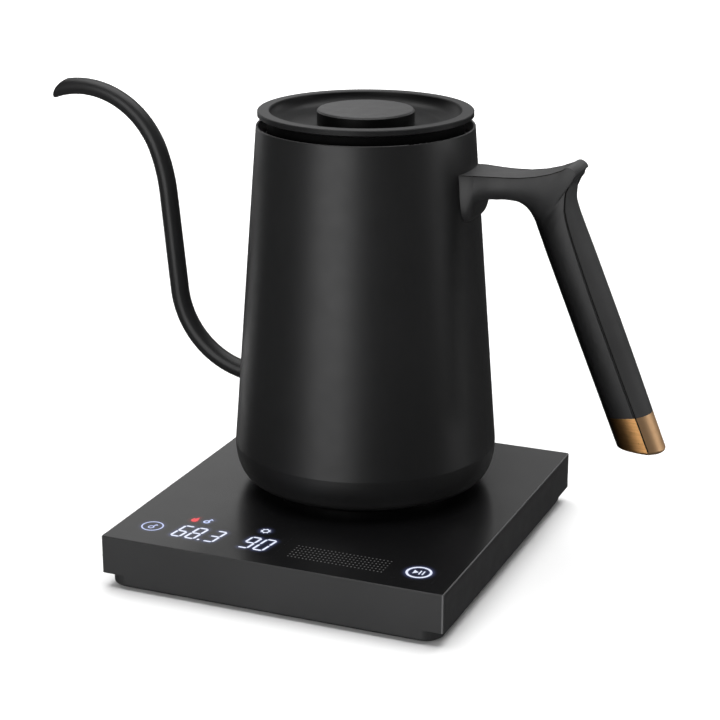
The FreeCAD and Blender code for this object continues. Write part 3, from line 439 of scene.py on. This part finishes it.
DIG = {"6": "acdefg", "8": "abcdefg", "3": "abcdg", "9": "abcdfg", "0": "abcdef"}
digits = []
for d, u, w in (("6", 24.9, 4.9), ("8", 31.1, 4.9), ("3", 39.5, 4.9), ("9", 55.0, 4.9), ("0", 61.4, 5.1)):
    digits += seg_digit(u, 10.9, w, 11.7, 0.95, 0.145, DIG[d])
digits.append(disc(37.8, 11.5, 0.55, 12))
left_key = arc_band(14.5, 16.6, 4.05, 4.62)
left_icon = arc_band(14.4, 15.6, 0.85, 1.35, n=24) + [bar((14.9, 16.7), (15.7, 18.6), 0.5), bar((15.0, 18.0), (16.3, 17.9), 0.45)]
mode_icon = arc_band(32.9, 28.9, 0.7, 1.45, n=24) + [bar((33.3, 30.1), (34.0, 32.0), 0.5), bar((33.4, 31.3), (34.9, 31.0), 0.45)]
timer_icon = arc_band(59.2, 29.6, 1.15, 1.75, n=24) + [
    bar((59.2 + 1.7 * math.cos(a), 29.6 + 1.7 * math.sin(a)), (59.2 + 2.2 * math.cos(a), 29.6 + 2.2 * math.sin(a)), 0.5)
    for a in (math.pi * i / 4 for i in range(8))]
right_key = arc_band(130.8, 15.9, 4.25, 5.2)
play_icon = [[(128.6, 14.3), (130.7, 15.9), (128.6, 17.5)], bar((131.3, 14.2), (131.3, 17.6), 0.55),
             bar((132.7, 14.2), (132.7, 17.6), 0.55)]
flame = [[(26.0, 28.6), (26.4, 27.5), (27.4, 26.9), (28.5, 27.2), (29.0, 28.2), (28.9, 29.6), (28.3, 31.7),
          (27.5, 30.6), (27.0, 30.2), (26.6, 30.4), (26.2, 29.6)]]


def plate_mesh(name, polys, z0, z1, mat, body="base", round_ends=0.0):
    """Flat raised marks: each polygon in base-top millimetres becomes a low solid."""
    bm = bmesh.new()
    for p in polys:
        area = sum(p[i][0] * p[(i + 1) % len(p)][1] - p[(i + 1) % len(p)][0] * p[i][1] for i in range(len(p)))
        if area < 0:
            p = p[::-1]
        lo = [bm.verts.new((U0 + u * MM, V0 + v * MM, z0)) for u, v in p]
        hi = [bm.verts.new((U0 + u * MM, V0 + v * MM, z1)) for u, v in p]
        bm.faces.new(hi)
        bm.faces.new(lo[::-1])
        for i in range(len(p)):
            j = (i + 1) % len(p)
            bm.faces.new((lo[i], lo[j], hi[j], hi[i]))
    me = bpy.data.meshes.new(name)
    bm.to_mesh(me)
    bm.free()
    ob = bpy.data.objects.new(name, me)
    scene.collection.objects.link(ob)
    me.materials.append(mat)
    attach(ob, body)
    return ob


def lamp(name, core, edge, power):
    """A lit segment seen through the dark panel: brightest in patches along its length."""
    k = Kit(name)
    f = k.noise(900.0, 2.0)
    c = k.mix(k.remap(f, 0.3, 0.7, 0, 1), core, edge)
    return k.set(color=(0.02, 0.02, 0.03), rough=0.3, emit=c, power=power).m


white = lamp("m_segments", (0.88, 0.92, 1.0), (0.74, 0.80, 1.0), 1.0)
dim = lamp("m_key_ring", (0.52, 0.60, 0.96), (0.62, 0.69, 1.0), 0.95)
blue = lamp("m_mode_icon", (0.50, 0.60, 0.98), (0.66, 0.75, 1.0), 1.0)
red = lamp("m_flame_icon", (0.90, 0.035, 0.03), (0.75, 0.02, 0.03), 1.0)
Z0, ZP, ZG = TOP - 0.0002, TOP + 0.000012, TOP + 0.00005
plate_mesh("display_digits", digits, Z0, ZG, white)
plate_mesh("timer_icon", timer_icon, Z0, ZG, white)
plate_mesh("play_key_mark", right_key + play_icon, Z0, ZG, white)
plate_mesh("left_key_mark", left_key + left_icon, Z0, ZG, dim)
plate_mesh("mode_icon", mode_icon, Z0, ZG, blue)
plate_mesh("flame_icon", flame, Z0, ZG, red)

k = Kit("m_slider_dots")
k.set(color=k.mix(k.remap(k.noise(1400.0), 0.3, 0.7, 0, 1), (0.060, 0.060, 0.060), (0.105, 0.105, 0.105)), rough=0.5)
dots = [disc(77.7 + 39.6 * i / 25, 10.7 + 10.6 * j / 5, 0.33, 10) for i in range(26) for j in range(6)]
plate_mesh("slider_dots", dots, Z0, ZG, k.m)


def glow_panel(name, u0, u1, v0, v1, step, marks, reds, reach):
    """Part of the clear panel over the lamps, with the light that spreads round each mark."""
    def outline(polys):
        segs = []
        for p in polys:
            for i in range(len(p)):
                segs.append((p[i], p[(i + 1) % len(p)]))
        return segs

    def inside(p, u, v):
        c = False
        for i in range(len(p)):
            (x1, y1), (x2, y2) = p[i], p[(i + 1) % len(p)]
            if (y1 > v) != (y2 > v) and u < (x2 - x1) * (v - y1) / (y2 - y1) + x1:
                c = not c
        return c
    boxes = [(polys, power, r, [(min(q[0] for q in p), max(q[0] for q in p), min(q[1] for q in p),
                                 max(q[1] for q in p)) for p in polys]) for polys, power, r in marks + reds]
    nu, nv = int(round((u1 - u0) / step)), int(round((v1 - v0) / step))
    bm = bmesh.new()
    glow, redl = bm.verts.layers.float.new("glow"), bm.verts.layers.float.new("red")
    rows = []
    for j in range(nv + 1):
        row = []
        for i in range(nu + 1):
            u, v = u0 + (u1 - u0) * i / nu, v0 + (v1 - v0) * j / nv
            best, is_red = 0.0, 0.0
            for polys, power, r, bb in boxes:
                for p, (a, b, c, d) in zip(polys, bb):
                    if u < a - 3 * reach or u > b + 3 * reach or v < c - 3 * reach or v > d + 3 * reach:
                        continue
                    if inside(p, u, v):
                        dist = 0.0
                    else:
                        dist = 1e9
                        for (x1, y1), (x2, y2) in outline([p]):
                            L = (x2 - x1) ** 2 + (y2 - y1) ** 2
                            t = max(0.0, min(1.0, ((u - x1) * (x2 - x1) + (v - y1) * (y2 - y1)) / L)) if L > 0 else 0.0
                            dist = min(dist, math.hypot(u - x1 - t * (x2 - x1), v - y1 - t * (y2 - y1)))
                    g = power * max(0.0, math.exp(-dist / reach) - 0.05)
                    if g > best:
                        best, is_red = g, r
            x = bm.verts.new((U0 + u * MM, V0 + v * MM, ZP))
            x[glow] = best
            x[redl] = is_red
            row.append(x)
        rows.append(row)
    for j in range(nv):
        for i in range(nu):
            bm.faces.new((rows[j][i], rows[j][i + 1], rows[j + 1][i + 1], rows[j + 1][i]))
    # thin skirt down into the casing's top
    loop = rows[0] + [r[-1] for r in rows[1:]] + rows[-1][-2::-1] + [r[0] for r in rows[-2:0:-1]]
    low = [bm.verts.new((x.co.x, x.co.y, Z0)) for x in loop]
    for i in range(len(loop)):
        j = (i + 1) % len(loop)
        bm.faces.new((low[i], low[j], loop[j], loop[i]))
    bm.faces.new(low[::-1])
    me = bpy.data.meshes.new(name)
    bm.to_mesh(me)
    bm.free()
    ob = bpy.data.objects.new(name, me)
    scene.collection.objects.link(ob)
    me.materials.append(GLOW)
    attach(ob, "base")
    return ob


GLOW = base_black("m_glow_panel", glow=True).m
step = 0.4
glow_panel("display_window", 7.0, 72.0, 6.0, 35.0, step,
           [(digits, 1.0, 0.0), (timer_icon, 0.8, 0.0), (left_key, 0.55, 0.0), (left_icon, 0.5, 0.0), (mode_icon, 0.8, 0.0)],
           [(flame, 0.9, 1.0)], 0.75)
glow_panel("play_key_window", 122.0, 139.0, 8.0, 24.0, step, [(right_key, 1.0, 0.0), (play_icon, 0.8, 0.0)], [], 0.75)


# ---- joint line along both creases of the grip, down over the end cap --------------------------
CREASE = [(90.8, 140.55, 8.38), (89.64, 138.89, 8.219), (88.13, 135.34, 8.1), (87.88, 131.63, 8.128),
          (87.94, 128.17, 8.221), (88.73, 124.81, 8.291), (89.68, 121.67, 8.389), (90.79, 118.61, 8.486),
          (91.94, 115.49, 8.541), (93.15, 112.33, 8.583), (94.38, 109.17, 8.6), (96.82, 102.82, 8.6),
          (99.29, 96.54, 8.599), (101.79, 90.37, 8.569), (104.29, 84.31, 8.519), (106.74, 78.37, 8.468),
          (109.14, 72.54, 8.409), (111.52, 66.8, 8.341), (113.87, 61.13, 8.264), (116.19, 55.55, 8.17),
          (118.5, 50.01, 8.07), (120.8, 44.48, 7.979), (123.1, 38.94, 7.897), (125.4, 33.41, 7.818),
          (126.0, 31.95, 7.80)]


def bead(name, points, radius, mat, body, sides=8):
    """Thin round bead through the points, with tapered ends."""
    bm = bmesh.new()
    rings = []
    for i, p in enumerate(points):
        d = (points[min(i + 1, len(points) - 1)] - points[max(i - 1, 0)]).normalized()
        a = d.cross(Vector((0, 1, 0))).normalized()
        b = d.cross(a)
        r = radius * (0.35 if i in (0, len(points) - 1) else 1.0)
        rings.append([bm.verts.new(p + (a * math.cos(t) + b * math.sin(t)) * r)
                      for t in (2 * math.pi * j / sides for j in range(sides))])
    for r0, r1 in zip(rings, rings[1:]):
        for j in range(sides):
            bm.faces.new((r0[j], r0[(j + 1) % sides], r1[(j + 1) % sides], r1[j]))
    bm.faces.new(rings[0][::-1])
    bm.faces.new(rings[-1])
    bmesh.ops.recalc_face_normals(bm, faces=bm.faces)
    me = bpy.data.meshes.new(name)
    bm.to_mesh(me)
    bm.free()
    me.materials.append(mat)
    ob = bpy.data.objects.new(name, me)
    scene.collection.objects.link(ob)
    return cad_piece(ob, body)


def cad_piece(ob, body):
    for f in ob.data.polygons:
        f.use_smooth = True
    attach(ob, body)
    return ob


fine = []
for (x0, z0, h0), (x1, z1, h1) in zip(CREASE, CREASE[1:]):
    fine += [(x0 + (x1 - x0) * i / 3, z0 + (z1 - z0) * i / 3, h0 + (h1 - h0) * i / 3) for i in range(3)]
fine.append(CREASE[-1])
# one dark material serves both the grip's joint line and the painted shadow lines along the arm's edges
seam_and_shade_mat = rubber("m_grip_seam_and_edge_shade", (0.0016, 0.0014, 0.0013), 0.8, seed=3.3).m
for side, tag in ((-1, "near"), (1, "far")):
    bead("grip_seam_" + tag, [Vector((AX + x * MM, AY + side * (h - 0.13) * MM, TOP + z * MM)) for x, z, h in fine],
         0.00026, seam_and_shade_mat, "kettle")

# painted shadow: a thin dark bead along each top edge of the arm stands for the shade on its rounded edge
ARM_EDGE_SHADE = [(44.5, 139.33, 12.0), (46.8, 139.4, 11.6), (48.9, 139.45, 11.3), (50.1, 139.45, 11.0), (51.3, 139.45, 10.7),
            (53.4, 139.45, 10.25), (57.0, 139.4, 9.5), (62.5, 139.45, 8.85), (69.0, 139.75, 8.4), (75.5, 140.75, 8.2),
            (81.5, 142.35, 8.2), (86.2, 144.25, 8.4), (88.6, 145.6, 8.6)]
for side, tag in ((-1, "near"), (1, "far")):
    bead("arm_edge_shade_line_" + tag, [Vector((AX + x * MM, AY + side * (h - 0.05) * MM, TOP + (z - 0.05) * MM)) for x, z, h in ARM_EDGE_SHADE],
         0.00019, seam_and_shade_mat, "kettle")

# ---- floor, light and camera -----------------------------------------------------------------
AZ, EL = math.radians(22.66031), math.radians(18.27535)
CAM = Vector((0.31150, -0.71449, 0.33774))
back = Vector((math.sin(AZ) * math.cos(EL), -math.cos(AZ) * math.cos(EL), math.sin(EL)))
right = Vector((math.cos(AZ), math.sin(AZ), 0))
up = back.cross(right)
cam = bpy.data.cameras.new("camera")
cam.sensor_width = 36.0
cam.lens = 98.525
cam.clip_start = 0.01
cam.clip_end = 50.0
co = bpy.data.objects.new("camera", cam)
co.matrix_world = Matrix((right, up, back)).transposed().to_4x4()
co.location = CAM
scene.collection.objects.link(co)
scene.camera = co

fm = Kit("m_floor")
fm.set(color=fm.mix(fm.remap(fm.noise(1.2, 2.0), 0.3, 0.7, 0, 1), (0.86, 0.86, 0.86), (0.88, 0.88, 0.88)), rough=0.9, spec=0.1)
sep = fm.n("ShaderNodeSeparateXYZ")
fm.link(fm.co, sep.inputs[0])
far = fm.math("SQRT", fm.math("ADD", fm.math("MULTIPLY", sep.outputs[0], sep.outputs[0]),
                              fm.math("MULTIPLY", sep.outputs[1], sep.outputs[1])))
fm.set(emit=(1.0, 1.0, 1.0), power=fm.remap(far, 0.45, 1.6, 0.0, 1.0, smooth=True))
bm = bmesh.new()
bmesh.ops.create_circle(bm, cap_ends=True, radius=14.0, segments=96)
me = bpy.data.meshes.new("floor")
bm.to_mesh(me)
bm.free()
me.materials.append(fm.m)
floor = bpy.data.objects.new("floor", me)
scene.collection.objects.link(floor)
floor.visible_glossy = False


def soft(name, az, el, dist, w, h, radiance, color=(1, 1, 1), aim=(0.0, 0.0, 0.10)):
    """Soft box az degrees round from the camera's side (+ to the right) and el above the horizon."""
    a, e = AZ + math.radians(az), math.radians(el)
    d = Vector((math.sin(a) * math.cos(e), -math.cos(a) * math.cos(e), math.sin(e)))
    L = bpy.data.lights.new(name, "AREA")
    L.shape = "RECTANGLE"
    L.size, L.size_y = w, h
    L.energy = radiance * math.pi * w * h
    L.color = color
    ob = bpy.data.objects.new(name, L)
    ob.location = Vector(aim) + d * dist
    ob.rotation_euler = d.to_track_quat("Z", "Y").to_euler()
    ob.visible_camera = False
    scene.collection.objects.link(ob)
    return ob


soft("overhead", 180, 80, 1.9, 2.3, 2.3, 4.6)
soft("key", -31, 6, 1.3, 0.92, 1.2, 3.55)
soft("side", 86, 8, 1.3, 0.55, 1.0, 2.3)
soft("back_left", -163, 20, 1.6, 1.0, 0.8, 0.75)
soft("back_right", 165, 20, 1.6, 0.5, 0.8, 0.50)
soft("rim_right", 138, 21, 1.5, 0.40, 0.5, 2.0)
soft("edge_left", -140, 4, 1.3, 0.30, 1.1, 1.6)

w = bpy.data.worlds.new("world")
scene.world = w
w.use_nodes = True
t = w.node_tree
t.nodes.clear()
wo = t.nodes.new("ShaderNodeOutputWorld")
mx = t.nodes.new("ShaderNodeMixShader")
lp = t.nodes.new("ShaderNodeLightPath")
b0, b1 = t.nodes.new("ShaderNodeBackground"), t.nodes.new("ShaderNodeBackground")
b0.inputs["Color"].default_value = (0.055, 0.055, 0.055, 1)
b1.inputs["Color"].default_value = (1.0, 1.0, 1.0, 1)
t.links.new(lp.outputs["Is Camera Ray"], mx.inputs[0])
t.links.new(b0.outputs[0], mx.inputs[1])
t.links.new(b1.outputs[0], mx.inputs[2])
t.links.new(mx.outputs[0], wo.inputs[0])
scene.view_settings.view_transform = "Standard"
